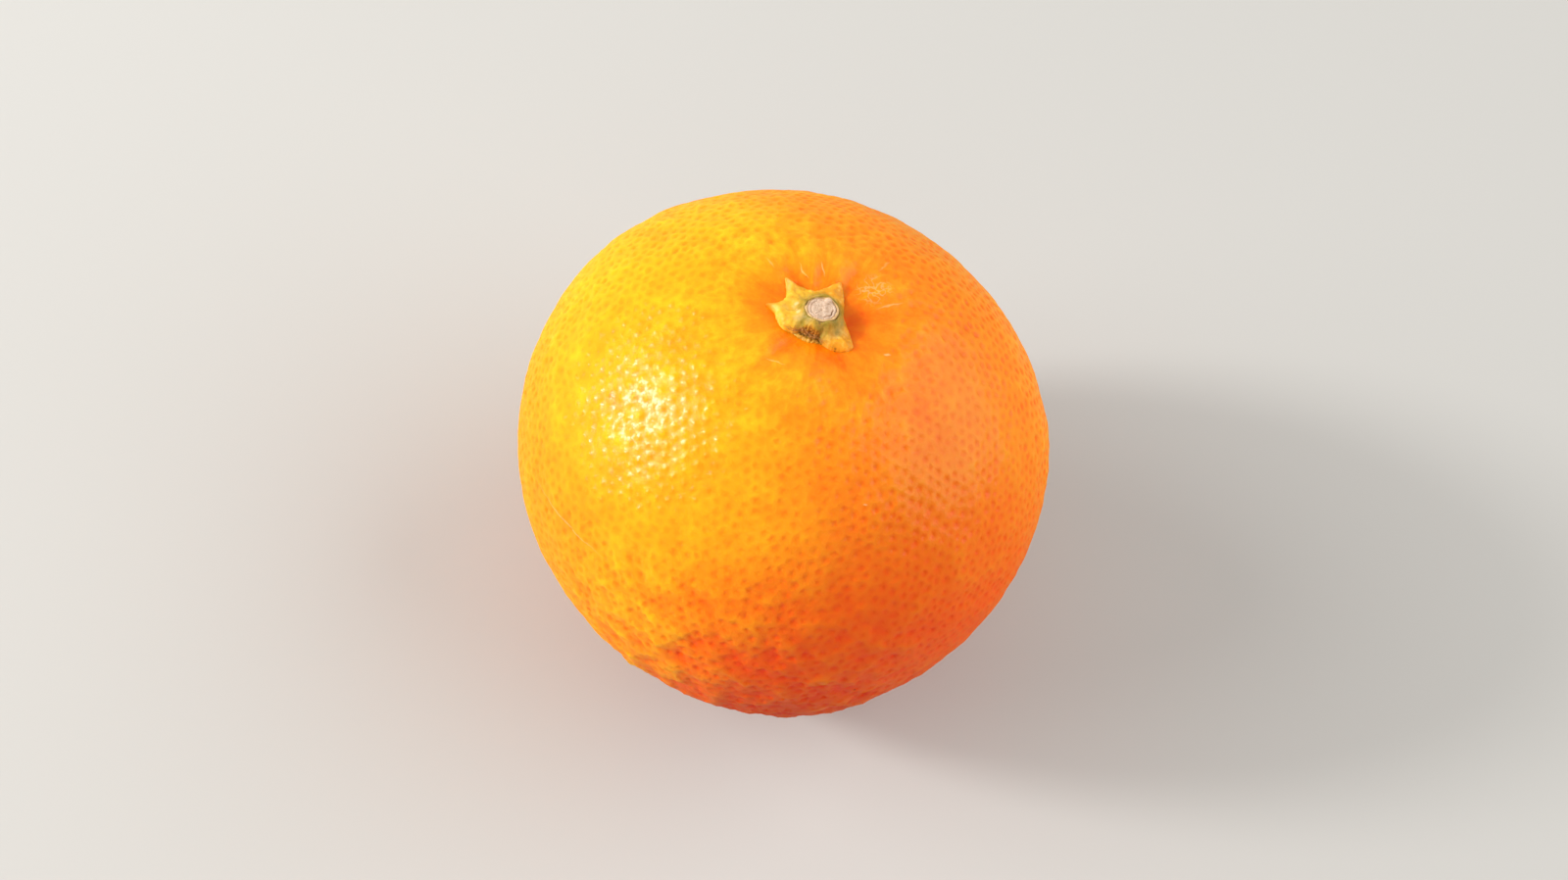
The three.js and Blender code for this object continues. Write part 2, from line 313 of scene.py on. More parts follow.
# The scar is a small sunken button in the foot.
scar = add(skin, "ShaderNodeMapRange", {"Value": from_axis, "From Min": SCAR_RADIUS,
                                        "From Max": SCAR_FLOOR, "To Max": SCAR_DEPTH},
           interpolation_type="SMOOTHSTEP")[0]
lower = add(skin, "ShaderNodeMath", [1.0, upper], operation="SUBTRACT")[0]
height = add(skin, "ShaderNodeMath", [scar, lower, height], operation="MULTIPLY_ADD")[0]
place = add(skin, "ShaderNodeCombineXYZ", [place["X"], place["Y"], height])[0]
mesh = add(skin, "GeometryNodeSetPosition", {"Geometry": mesh, "Position": place})[0]
mesh = add(skin, "GeometryNodeSetShadeSmooth", {"Geometry": mesh})[0]
mesh = add(skin, "GeometryNodeRealizeInstances", [mesh])[0]
mesh = add(skin, "GeometryNodeSetMaterial", {"Geometry": mesh, "Material": sizes["Peel"]})[0]
add(skin, "NodeGroupOutput", {"Mesh": mesh})


def new_material(name, settings):
    """A material, its node tree and its shader, with these values set on the shader."""
    made = bpy.data.materials.new(name)
    made.use_nodes = True
    shader = made.node_tree.nodes["Principled BSDF"]
    for socket, value in settings.items():
        shader.inputs[socket].default_value = value
    return made, made.node_tree, shader


# Ripe citrus flavedo under a thin coat of wax: the colour lies in the skin and light
# spreads a millimetre or two through it, so shadows turn red instead of grey. All the
# gloss is the wax's.
peel, look, surface = new_material("Waxed orange peel", {
    "IOR": 1.46, "Specular IOR Level": 0.0, "Subsurface Weight": 0.65,
    "Subsurface Radius": (1.0, 0.3, 0.06), "Subsurface Scale": 1.2 * MM,
    "Coat Weight": 0.23, "Coat Roughness": 0.18, "Coat IOR": 1.7})
spot = add(look, "ShaderNodeTexCoord")["Object"]
outward = add(look, "ShaderNodeVectorMath", [spot, (0, 0, CENTRE_HEIGHT)],
              operation="SUBTRACT")[0]

# The peel is yellow on the left and deepens to orange on the far flank and above all on
# the lower front: partly its own colour, partly painted light from the left and painted
# shade below and at the rims. The borders wander with the skin.
patches = add(look, "ShaderNodeTexNoise",
              {"Vector": spot, "Scale": 1 / (13 * MM), "Detail": 3.0, "Roughness": 0.6})[0]
patches = add(look, "ShaderNodeMath", [patches, -0.5], operation="ADD")[0]
BORDER_WANDER = 11 * MM
SIDE_COLOURS_AND_PAINTED_SHADE = (
    # towards, where it starts and is full along that way, and the colour there
    (Vector((0, 0, -1)), 16 * MM, 32 * MM, "#FF8C0C"),
    (Vector((0.98, 0.19, 0.06)), -9 * MM, 10 * MM, "#FF8710"),
    (Vector((0.53, -0.78, -0.33)), 9 * MM, 34 * MM, "#FF5802"),
    # painted shade on the lower front rim, in the fruit's own shade
    (Vector((0.28, -0.82, -0.5)), 29 * MM, 39 * MM, "#E24600"),
    (Vector((0.1, 0.97, 0.22)), 20 * MM, 34 * MM, "#FF8C0A"),
    # painted shade on the left rim, where the skin is seen edge-on
    (Vector((-0.87, -0.46, -0.2)), 21 * MM, 37 * MM, "#FF8A0C"),
)
ground = linear("#FFA410")
for towards, start, full, colour in SIDE_COLOURS_AND_PAINTED_SHADE:
    along = add(look, "ShaderNodeVectorMath", [outward, towards.normalized()],
                operation="DOT_PRODUCT")["Value"]
    along = add(look, "ShaderNodeMath", [patches, BORDER_WANDER, along],
                operation="MULTIPLY_ADD")[0]
    share = add(look, "ShaderNodeMapRange", {"Value": along, "From Min": start, "From Max": full},
                interpolation_type="SMOOTHSTEP")[0]
    ground = add(look, "ShaderNodeMix", {0: share, 6: ground, 7: linear(colour)},
                 data_type="RGBA")[2]

# Pale pith shows between the glands as a cloudy net.
net = add(look, "ShaderNodeTexNoise",
          {"Vector": spot, "Scale": 1 / (2.6 * MM), "Detail": 3.0, "Roughness": 0.6})[0]
net = add(look, "ShaderNodeMapRange", {"Value": net, "From Min": 0.4, "From Max": 0.7,
                                       "To Max": 0.3})[0]
ground = add(look, "ShaderNodeMix", {0: net, 6: ground, 7: (1.0, 1.35, 1.8, 1.0)},
             data_type="RGBA", blend_type="MULTIPLY")[2]

# Round the stem the skin is drawn into streaks that run outward. The ridges are painted
# lighter and the hollows and the skin close to the calyx deeper orange: painted light and
# painted shade. Each row below is what it follows, where that starts and is full, the most
# of it that shows, and its change of the colour.
flat = add(look, "ShaderNodeVectorMath", [spot, (1.0, 1.0, 0.0)], operation="MULTIPLY")[0]
from_stem = add(look, "ShaderNodeVectorMath", [flat], operation="LENGTH")["Value"]
is_upper = add(look, "ShaderNodeSeparateXYZ", [outward])["Z"]
is_upper = add(look, "ShaderNodeMath", [is_upper, 0.0], operation="GREATER_THAN")[0]
bearing = add(look, "ShaderNodeVectorMath", [flat], operation="NORMALIZE")[0]
bearing = add(look, "ShaderNodeVectorMath", {0: bearing, "Scale": 4.5}, operation="SCALE")[0]
outing = add(look, "ShaderNodeMath", [from_stem, 6 * MM], operation="DIVIDE")[0]
outing = add(look, "ShaderNodeCombineXYZ", {"Z": outing})[0]
streak = add(look, "ShaderNodeVectorMath", [bearing, outing], operation="ADD")[0]
streak = add(look, "ShaderNodeTexNoise", {"Vector": streak, "Scale": 1.0, "Detail": 5.0,
                                          "Roughness": 0.7, "Distortion": 1.0})[0]
fade = add(look, "ShaderNodeMapRange", {"Value": from_stem, "From Min": 24 * MM,
                                        "From Max": 12 * MM}, interpolation_type="SMOOTHSTEP")[0]
fade = add(look, "ShaderNodeMath", [fade, is_upper], operation="MULTIPLY")[0]
fold = add(look, "ShaderNodeAttribute", attribute_name="fold")["Fac"]
painted_calyx_shade = add(look, "ShaderNodeMapRange", {"Value": from_stem, "From Min": 11 * MM,
                                         "From Max": 5 * MM}, interpolation_type="SMOOTHSTEP")[0]
painted_calyx_shade = add(look, "ShaderNodeMath", [painted_calyx_shade, fade], operation="MULTIPLY")[0]
mottle = add(look, "ShaderNodeTexNoise", {"Vector": spot, "Scale": 1 / (2.2 * MM), "Detail": 5.0,
                                          "Roughness": 0.7})[0]
for value, start, full, most, change in (
        (mottle, 0.5, 0.72, 0.8, (1.0, 1.25, 1.7, 1.0)),
        (mottle, 0.5, 0.3, 0.8, (0.98, 0.78, 0.6, 1.0)),
        (streak, 0.5, 0.72, 0.8, (1.0, 1.3, 1.8, 1.0)),
        (streak, 0.5, 0.28, 0.8, (0.98, 0.75, 0.5, 1.0)),
        # painted light on the ridges, painted shade close to the calyx and in the hollows
        (fold, 0.1, 1.0, 0.8, (1.0, 1.25, 1.4, 1.0)),
        (painted_calyx_shade, 0.0, 1.0, 0.75, (0.98, 0.62, 0.3, 1.0)),
        (fold, -0.1, -0.9, 1.0, (0.98, 0.6, 0.25, 1.0))):
    share = add(look, "ShaderNodeMapRange", {"Value": value, "From Min": start, "From Max": full,
                                             "To Max": most})[0]
    share = add(look, "ShaderNodeMath", [share, fade], operation="MULTIPLY")[0]
    ground = add(look, "ShaderNodeMix", {0: share, 6: ground, 7: change},
                 data_type="RGBA", blend_type="MULTIPLY")[2]

# Raised skin is painted paler and the dips between deeper in colour: painted light on
# the crests and painted shade in the dips.
rise = add(look, "ShaderNodeAttribute", attribute_name="rise")["Fac"]
low = add(look, "ShaderNodeMapRange", {"Value": rise, "From Min": -0.05, "From Max": -0.7})[0]
high = add(look, "ShaderNodeMapRange", {"Value": rise, "From Min": 0.05, "From Max": 0.7})[0]
for share, change in ((low, (1.0, 0.52, 0.3, 1.0)), (high, (1.0, 1.6, 1.6, 1.0))):
    ground = add(look, "ShaderNodeMix", {0: share, 6: ground, 7: change},
                 data_type="RGBA", blend_type="MULTIPLY")[2]

# The oil in each gland deepens the colour over it, more over some than over others. On
# the sides away from the light the dots are darker still, as painted shade in the pits.
gland = add(look, "ShaderNodeAttribute", attribute_name="gland")["Fac"]
dot = add(look, "ShaderNodeMapRange", {"Value": gland, "From Min": 0.05, "From Max": 0.85,
                                       "To Max": 0.56}, interpolation_type="SMOOTHSTEP")[0]
plain = add(look, "ShaderNodeMapRange", {"Value": from_stem, "From Min": 17 * MM,
                                         "From Max": 8 * MM, "To Max": 0.9})[0]
plain = add(look, "ShaderNodeMath", [plain, is_upper], operation="MULTIPLY")[0]
plain = add(look, "ShaderNodeMath", [1.0, plain], operation="SUBTRACT")[0]
uneven = add(look, "ShaderNodeMapRange", {"Value": mottle, "From Min": 0.3, "From Max": 0.7,
                                          "To Min": 0.35, "To Max": 1.2})[0]
plain = add(look, "ShaderNodeMath", [plain, uneven], operation="MULTIPLY")[0]
# Painted shade in the pits: the dots darken on the right and at the upper right rim.
PIT_SHADE_SIDES = (
    # towards, where it starts and is full along that way, and how much stronger the dots are
    (Vector((0.8, -0.5, -0.33)), 5 * MM, 35 * MM, 1.6),
    (Vector((0.5, 0.83, 0.25)), 18 * MM, 33 * MM, 2.4),
)
for towards, start, full, most in PIT_SHADE_SIDES:
    pit_shade = add(look, "ShaderNodeVectorMath", [outward, towards], operation="DOT_PRODUCT")["Value"]
    pit_shade = add(look, "ShaderNodeMapRange", {"Value": pit_shade, "From Min": start, "From Max": full,
                                              "To Min": 1.0, "To Max": most})[0]
    plain = add(look, "ShaderNodeMath", [plain, pit_shade], operation="MULTIPLY")[0]
# Painted highlight: the dots fade out on the full cheek, where the key light's highlight falls.
highlight_fade = add(look, "ShaderNodeVectorMath", [outward, FULL_CHEEK], operation="DOT_PRODUCT")["Value"]
highlight_fade = add(look, "ShaderNodeMapRange", {"Value": highlight_fade, "From Min": 34 * MM, "From Max": 37 * MM,
                                         "To Min": 1.0, "To Max": 0.2},
            interpolation_type="SMOOTHSTEP")[0]
plain = add(look, "ShaderNodeMath", [plain, highlight_fade], operation="MULTIPLY")[0]
dot = add(look, "ShaderNodeMath", [dot, plain], operation="MULTIPLY")[0]
colour = add(look, "ShaderNodeMix", {0: dot, 6: ground, 7: (1.0, 0.65, 0.32, 1.0)},
             data_type="RGBA", blend_type="MULTIPLY")[2]

# Rubs and scars of its life on the tree, as pale or dark strokes, and two pale strokes on
# the ridges above the calyx that are painted highlights: the direction of the middle of
# each from the centre, its turn from due east, half its length and half width.
MARKS_AND_PAINTED_GLINTS = (
    # the first two strokes are painted highlights on the ridges above the calyx
    {"azimuth": 120, "elevation": 78, "turn": 100, "length": 1.3 * MM, "width": 0.096 * MM,
     "colour": "#FFC870", "strength": 0.42},
    {"azimuth": 100, "elevation": 77.5, "turn": 102, "length": 0.9 * MM, "width": 0.096 * MM,
     "colour": "#FFD890", "strength": 0.54},
    {"azimuth": 29.5, "elevation": 74.6, "turn": 97, "length": 1.7 * MM, "width": 0.13 * MM,
     "colour": "#FFC080", "strength": 0.48},
    {"azimuth": 60, "elevation": 69.5, "turn": 91, "length": 1.2 * MM, "width": 0.15 * MM,
     "colour": "#FFB870", "strength": 0.36},
    {"azimuth": -16, "elevation": 74, "turn": 130, "length": 0.45 * MM, "width": 0.15 * MM,
     "colour": "#FFD6A0", "strength": 0.48},
    {"azimuth": 246, "elevation": 75, "turn": 27, "length": 1.2 * MM, "width": 0.09 * MM,
     "colour": "#FFD080", "strength": 0.42},
    {"azimuth": 143, "elevation": 73.6, "turn": 80, "length": 0.8 * MM, "width": 0.18 * MM,
     "colour": "#FFC070", "strength": 0.36},
    {"azimuth": 120.3, "elevation": 79.3, "turn": 0, "length": 0.17 * MM, "width": 0.078 * MM,
     "colour": "#4A2008", "strength": 0.54},
    {"azimuth": -61, "elevation": 0.4, "turn": 0, "length": 0.2 * MM, "width": 0.096 * MM,
     "colour": "#5A2006", "strength": 0.48},
    {"azimuth": -60.6, "elevation": 49.3, "turn": 0, "length": 0.22 * MM, "width": 0.11 * MM,
     "colour": "#FFD8A0", "strength": 0.42},
    {"azimuth": -133.5, "elevation": 16.9, "turn": 14, "length": 7.5 * MM, "width": 0.12 * MM,
     "colour": "#E8C08A", "strength": 0.3},
)
MARK_WANDER, MARK_DEPTH = 0.8 * MM, 3 * MM
surface_spot = add(look, "ShaderNodeVectorMath", [outward], operation="NORMALIZE")[0]
surface_spot = add(look, "ShaderNodeVectorMath", {0: surface_spot, "Scale": EQUATOR_RADIUS},
                   operation="SCALE")[0]
wander = add(look, "ShaderNodeTexNoise",
             {"Vector": spot, "Scale": 1 / (1.5 * MM), "Detail": 2.0})["Color"]
wander = add(look, "ShaderNodeVectorMath", [wander, (-0.5, -0.5, -0.5)], operation="ADD")[0]
wander = add(look, "ShaderNodeVectorMath", {0: wander, "Scale": MARK_WANDER},
             operation="SCALE")[0]
surface_spot = add(look, "ShaderNodeVectorMath", [surface_spot, wander], operation="ADD")[0]
for mark in MARKS_AND_PAINTED_GLINTS:
    middle = unit_direction(mark["azimuth"], mark["elevation"])
    east = Vector((-middle.y, middle.x, 0)).normalized()
    turn = math.radians(mark["turn"])
    lengthwise = east * math.cos(turn) + middle.cross(east) * math.sin(turn)
    off = add(look, "ShaderNodeVectorMath", [surface_spot, middle * EQUATOR_RADIUS],
              operation="SUBTRACT")[0]
    along = add(look, "ShaderNodeVectorMath", [off, lengthwise / mark["length"]],
                operation="DOT_PRODUCT")["Value"]
    across = add(look, "ShaderNodeVectorMath",
                 [off, middle.cross(lengthwise) / mark["width"]], operation="DOT_PRODUCT")["Value"]
    inward = add(look, "ShaderNodeVectorMath", [off, middle / MARK_DEPTH],
                 operation="DOT_PRODUCT")["Value"]
    off = add(look, "ShaderNodeCombineXYZ", [along, across, inward])[0]
    off = add(look, "ShaderNodeVectorMath", [off], operation="LENGTH")["Value"]
    share = add(look, "ShaderNodeMapRange", {"Value": off, "From Min": 1.4, "From Max": 0.3,
                                             "To Max": mark["strength"]},
                interpolation_type="SMOOTHSTEP")[0]
    colour = add(look, "ShaderNodeMix", {0: share, 6: colour, 7: linear(mark["colour"])},
                 data_type="RGBA")[2]

# A scuff by the calyx, worn into a pale net of fine curved lines.
SCUFF_MIDDLE = unit_direction(48, 75.8) * EQUATOR_RADIUS
off = add(look, "ShaderNodeVectorMath", [surface_spot, SCUFF_MIDDLE], operation="DISTANCE")["Value"]
scuffed = add(look, "ShaderNodeMapRange", {"Value": off, "From Min": 3.2 * MM,
                                           "From Max": 1.2 * MM, "To Max": 0.34},
              interpolation_type="SMOOTHSTEP")[0]
lines = add(look, "ShaderNodeTexNoise", {"Vector": spot, "Scale": 1 / (1.5 * MM), "Detail": 2.0})[0]
lines = add(look, "ShaderNodeMath", [lines, -0.5], operation="ADD")[0]
lines = add(look, "ShaderNodeMath", [lines], operation="ABSOLUTE")[0]
lines = add(look, "ShaderNodeMapRange", {"Value": lines, "From Min": 0.045, "From Max": 0.0},
            interpolation_type="SMOOTHSTEP")[0]
lines = add(look, "ShaderNodeMath", [lines, scuffed], operation="MULTIPLY")[0]
colour = add(look, "ShaderNodeMix", {0: lines, 6: colour, 7: linear("#FFC68C")},
             data_type="RGBA")[2]

# The dry, corky scar in the foot.
cork = add(look, "ShaderNodeMapRange", {"Value": mottle, "From Min": 0.35, "From Max": 0.65})[0]
cork = add(look, "ShaderNodeMix", {0: cork, 6: linear("#A45C14"), 7: linear("#E0A84C")},
           data_type="RGBA")[2]
ragged = add(look, "ShaderNodeMath", [mottle, 1.6 * MM, from_stem], operation="MULTIPLY_ADD")[0]
scar = add(look, "ShaderNodeMapRange", {"Value": ragged, "From Min": 2.8 * MM,
                                        "From Max": 2.1 * MM}, interpolation_type="SMOOTHSTEP")[0]
lower = add(look, "ShaderNodeMath", [1.0, is_upper], operation="SUBTRACT")[0]
scar = add(look, "ShaderNodeMath", [scar, lower], operation="MULTIPLY")[0]
colour = add(look, "ShaderNodeMix", {0: scar, 6: colour, 7: cork}, data_type="RGBA")[2]
look.links.new(colour, surface.inputs["Base Color"])

# The wax is worn unevenly, and the skin under it has a fine grain.
wear = add(look, "ShaderNodeTexNoise", {"Vector": spot, "Scale": 1 / (5 * MM), "Detail": 3.0})[0]
wear = add(look, "ShaderNodeMapRange", {"Value": wear, "From Min": 0.3, "From Max": 0.7,
                                        "To Min": 0.34, "To Max": 0.46})[0]
look.links.new(wear, surface.inputs["Roughness"])
grain = add(look, "ShaderNodeTexNoise", {"Vector": spot, "Scale": 1 / (1.1 * MM), "Detail": 2.0})[0]
bump = add(look, "ShaderNodeBump", {"Height": grain, "Distance": 0.2 * MM, "Strength": 1.0})[0]
look.links.new(bump, surface.inputs["Normal"])
glaze = add(look, "ShaderNodeTexNoise", {"Vector": spot, "Scale": 1 / (0.5 * MM), "Detail": 3.0})[0]
bump = add(look, "ShaderNodeBump", {"Height": glaze, "Distance": 0.055 * MM, "Strength": 1.0})[0]
look.links.new(bump, surface.inputs["Coat Normal"])

fruit = bpy.data.objects.new("peel", bpy.data.meshes.new("peel"))
bpy.context.scene.collection.objects.link(fruit)
grow = fruit.modifiers.new("Grow", "NODES")
grow.node_group = skin
for item in skin.interface.items_tree:
    if item.in_out == "INPUT":
        grow[item.identifier] = {**SKIN_SIZES, "Seed": 11, "Peel": peel}[item.name]
bpy.context.view_layer.update()
grown = bpy.data.meshes.new_from_object(fruit.evaluated_get(bpy.context.evaluated_depsgraph_get()))
fruit.modifiers.remove(grow)
fruit.data = grown
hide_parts("fruit")
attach(fruit, "root")


# ---- Calyx ----
# The calyx is the dried star of sepals that stays on the picked fruit: thick, leathery
# lobes grown into one mound that climbs the stalk, olive where it is youngest. One lobe
# has torn away and left frayed fibres above a rough ledge. It grips the skin all over.

# The bore is a little wider than the stalk, the collar is how high the calyx climbs round
# it, and the sink is how deep both sit in the skin. The cut rises towards its bearing.
STALK_RADIUS = 2.15 * MM
CALYX_BORE = STALK_RADIUS + 0.04 * MM
CALYX_COLLAR = 2.65 * MM
CALYX_SINK = 0.15 * MM
CUT_SLOPE, CUT_BEARING = 0.17, -72

# The corners of its outline in order: lobe tips and the bays between, each with the
# thickness of the calyx there. Flare bends the edge on the way to the next corner, and
# above 1 the lobe narrows to a sharper tip.
CALYX_CORNERS = (
    {"azimuth": 18, "radius": 3.2 * MM, "flare": 2, "edge": 0.7 * MM},
    {"azimuth": 77, "radius": 6.4 * MM, "flare": 1.8, "edge": 0.45 * MM},
    {"azimuth": 111, "radius": 4.3 * MM, "flare": 2, "edge": 0.6 * MM},
    {"azimuth": 142, "radius": 7.2 * MM, "flare": 1.7, "edge": 0.5 * MM},
    {"azimuth": 161, "radius": 5.2 * MM, "flare": 2.4, "edge": 1.0 * MM},
    {"azimuth": 182, "radius": 7.2 * MM, "flare": 2.8, "edge": 0.5 * MM},
    {"azimuth": 197, "radius": 5.7 * MM, "flare": 1, "edge": 1.3 * MM},
    {"azimuth": 217, "radius": 5.2 * MM, "flare": 1, "edge": 1.35 * MM},
    {"azimuth": 231, "radius": 4.1 * MM, "flare": 1, "edge": 1.2 * MM},
    {"azimuth": 288, "radius": 3.8 * MM, "flare": 1, "edge": 1.1 * MM},
    {"azimuth": 320, "radius": 6.1 * MM, "flare": 1, "edge": 0.75 * MM},
    {"azimuth": 328, "radius": 6.05 * MM, "flare": 1.75, "edge": 0.6 * MM},
)
LOBE_RIDGES = (77, 142, 182, 320)
RIDGE_HEIGHT, RIDGE_WIDTH = 0.35 * MM, 0.75 * MM

# The torn bay: its bearing, half its width and how gently it ends, all in degrees, how
# near to the axis it reaches, and the fluted ledge that is left in it.
TEAR_MIDDLE, TEAR_HALF, TEAR_BLEND = 259, 30, 12
TEAR_RADIUS = 3.1 * MM
LEDGE_HEIGHT = 0.35 * MM
LEDGE_FLUTES, FLUTE_HEIGHT = 40, 0.06 * MM

skin_tree = BVHTree.FromPolygons([v.co for v in grown.vertices],
                                 [tuple(p.vertices) for p in grown.polygons])


def skin_height(x, y):
    """Height of the peel under a point near the stem."""
    return skin_tree.ray_cast(Vector((x, y, 1)), Vector((0, 0, -1)))[0].z


def ease(value, start, end):
    """0 before start, 1 past end, and smooth between."""
    share = min(max((value - start) / (end - start), 0), 1)
    return share * share * (3 - 2 * share)


def degrees_between(azimuth, other):
    return abs((azimuth - other + 180) % 360 - 180)


def side_share(azimuth, side):
    """1 in the middle of a side of the calyx, and 0 away from it."""
    middle, start, full = side
    return ease(degrees_between(azimuth, middle), start, full)


def calyx_at(azimuth, key):
    """Radius of the outline, or thickness of the calyx, on a bearing in degrees."""
    after = next((i for i, c in enumerate(CALYX_CORNERS) if c["azimuth"] > azimuth), 0)
    start, end = CALYX_CORNERS[after - 1], CALYX_CORNERS[after]
    share = (azimuth - start["azimuth"]) % 360 / ((end["azimuth"] - start["azimuth"]) % 360)
    if key == "edge":
        return start[key] + (end[key] - start[key]) * ease(share, 0, 1)
    bay, tip = sorted((start, end), key=lambda corner: corner["radius"])
    rise = share if tip is end else 1 - share
    return bay["radius"] + (tip["radius"] - bay["radius"]) * rise ** start["flare"]


def ripple(point, width, height):
    """A small bump or dip of about this width, from the place alone."""
    return height * noise.noise(point / width)


CALYX_SECTORS = 420
BODY_ROWS, RIM_ROWS, LEDGE_ROWS = 34, 14, 10
RIM_WIDTH = 0.6 * MM

# The mound that climbs the stalk: how far it stays full, how soon it falls, what it adds
# above the collar, and the drop and width of the lip round the bore.
MOUND_RADIUS, MOUND_FALL, MOUND_RISE = 2.35 * MM, 0.95 * MM, 0.15 * MM
LIP_DROP, LIP_WIDTH = 0.12 * MM, 0.35 * MM

# Where the olive of the collar fades and the amber of the tips begins, as distances from
# the axis; the sides of the calyx that are olive or amber farther in; and the sides where
# the brown line round the rim, a painted contact shadow, is darkest: bearing, and how many
# degrees away from it that side starts and is full.
OLIVE_FULL, OLIVE_END = 2.7 * MM, 4.3 * MM
AMBER_START, AMBER_FULL = 5 * MM, 7 * MM
OLIVE_SIDE = (200, 40, 0)
AMBER_SIDE = (20, 105, 70)
RIM_SHADOW_SIDES = ((30, 70, 50), (122, 18, 10))

# Each sector with its outline, how far it is torn, and the brink where the tear stops.
sectors = []
for sector in range(CALYX_SECTORS):
    azimuth = sector * 360 / CALYX_SECTORS
    bearing = unit_direction(azimuth, 0)
    outline = calyx_at(azimuth, "radius") + ripple(bearing, 0.06, 0.12 * MM)
    tear = 1 - ease(degrees_between(azimuth, TEAR_MIDDLE), TEAR_HALF - TEAR_BLEND, TEAR_HALF)
    jag = ripple(bearing * 3 * MM, 0.9 * MM, 0.35 * MM)
    jag += ripple(bearing * 3 * MM, 0.25 * MM, 0.2 * MM)
    brink = outline - tear * (outline - TEAR_RADIUS + jag)
    sectors.append((azimuth, bearing, outline, tear, brink))
brink_tree = KDTree(CALYX_SECTORS)
for index, (azimuth, bearing, outline, tear, brink) in enumerate(sectors):
    brink_tree.insert(bearing * brink, index)
brink_tree.balance()

# Rows of points from the bore out to the brink, round the rim and down over the ledge of
# the tear, and the marks that the colours follow.
rows = []
marks = {"collar": [], "tear": [], "warm": [], "rim": []}
for row in range(BODY_ROWS + RIM_ROWS + LEDGE_ROWS):
    for azimuth, bearing, outline, tear, brink in sectors:
        past = 0
        if row < BODY_ROWS:
            radius = CALYX_BORE + (brink - RIM_WIDTH - CALYX_BORE) * row / BODY_ROWS
        elif row < BODY_ROWS + RIM_ROWS:
            radius = brink - RIM_WIDTH * (1 - (row - BODY_ROWS + 1) / RIM_ROWS) ** 1.6
        else:
            past = (row - BODY_ROWS - RIM_ROWS + 1) / LEDGE_ROWS
            radius = brink + (outline - brink) * past
        here = bearing * radius
        inside = 0 if row >= BODY_ROWS + RIM_ROWS - 1 else brink_tree.find(here)[2]
        rounding = RIM_WIDTH * (1.5 - 1.15 * tear)  # a soft rim, and a steep torn wall
        body = 1 - min(inside / rounding, 1)
        body = math.sqrt(max(1 - body * body, 0))
        edge = calyx_at(azimuth, "edge")
        mound = math.exp(-(max(radius - MOUND_RADIUS, 0) / MOUND_FALL) ** 1.3)
        slant = CUT_SLOPE * radius * math.cos(math.radians(azimuth - CUT_BEARING))
        top = edge + (CALYX_COLLAR - edge) * mound
        top += (MOUND_RISE + slant) * mound
        top += ripple(bearing, 0.6, 0.3 * MM) * mound
        top -= LIP_DROP * (1 - ease(radius, CALYX_BORE, CALYX_BORE + LIP_WIDTH))
        for ridge in LOBE_RIDGES:
            aside = math.sin(math.radians(degrees_between(azimuth, ridge) / 2)) * 2
            aside *= radius / RIDGE_WIDTH
            top += RIDGE_HEIGHT * math.exp(-aside * aside) * ease(radius, 3 * MM, 5 * MM)
        top += ripple(here, 1.5 * MM, 0.3 * MM) + ripple(here, 0.6 * MM, 0.1 * MM)
        # The ledge that the torn lobe left, fluted and rough, and the frayed wall above it.
        ledge = math.sin(math.radians(azimuth) * LEDGE_FLUTES)
        ledge = tear * (LEDGE_HEIGHT + FLUTE_HEIGHT * ledge)
        ledge += tear * ripple(here, 0.4 * MM, 0.25 * MM)
        lift = ledge * math.sqrt(1 - past ** 4) + (top - ledge) * body
        fray = ripple(Vector((here.x, here.y, lift)), 0.35 * MM, 0.35 * MM)
        here += bearing * fray * tear * (1 - body) * (1 - past)
        rows.append(here + Vector((0, 0, skin_height(here.x, here.y) + lift)))
        olive = radius + ripple(here, 1.4 * MM, 0.9 * MM)
        olive += 0.5 * MM * side_share(azimuth, OLIVE_SIDE)
        marks["collar"].append(1 - ease(olive, OLIVE_FULL, OLIVE_END))
        raw = 1 - ease(brink - radius, 0.05 * MM, 0.2 * MM)
        marks["tear"].append(tear * raw * (1 - 0.6 * past))
        marks["warm"].append(max(ease(radius, AMBER_START, AMBER_FULL),
                                 0.8 * side_share(azimuth, AMBER_SIDE)))
        # The brown line round the rim is a painted contact shadow, darkest on two sides.
        dark = max(0.5, *(1.4 * side_share(azimuth, side) for side in RIM_SHADOW_SIDES))
        marks["rim"].append(dark * (1 - ease(inside, 0, 0.22 * MM)))

# The underside, sunk into the skin, and back to the bore.
for share in (1, 0):
    for azimuth, bearing, outline, tear, brink in sectors:
        here = bearing * (CALYX_BORE + (outline - CALYX_BORE) * share)
        rows.append(here + Vector((0, 0, skin_height(here.x, here.y) - CALYX_SINK)))
        for name, mark in marks.items():
            mark.append(float(name == "collar"))


def rings_to_faces(ring_count, sector_count, is_washer=False):
    """Quads between neighbouring rings, and from the last back to the first in a washer."""
    faces = []
    for ring in range(ring_count if is_washer else ring_count - 1):
        inner, outer = ring * sector_count, (ring + 1) % ring_count * sector_count
        for sector in range(sector_count):
            beside = (sector + 1) % sector_count
            faces.append((inner + sector, outer + sector, outer + beside, inner + beside))
    return faces


faces = rings_to_faces(len(rows) // CALYX_SECTORS, CALYX_SECTORS, True)

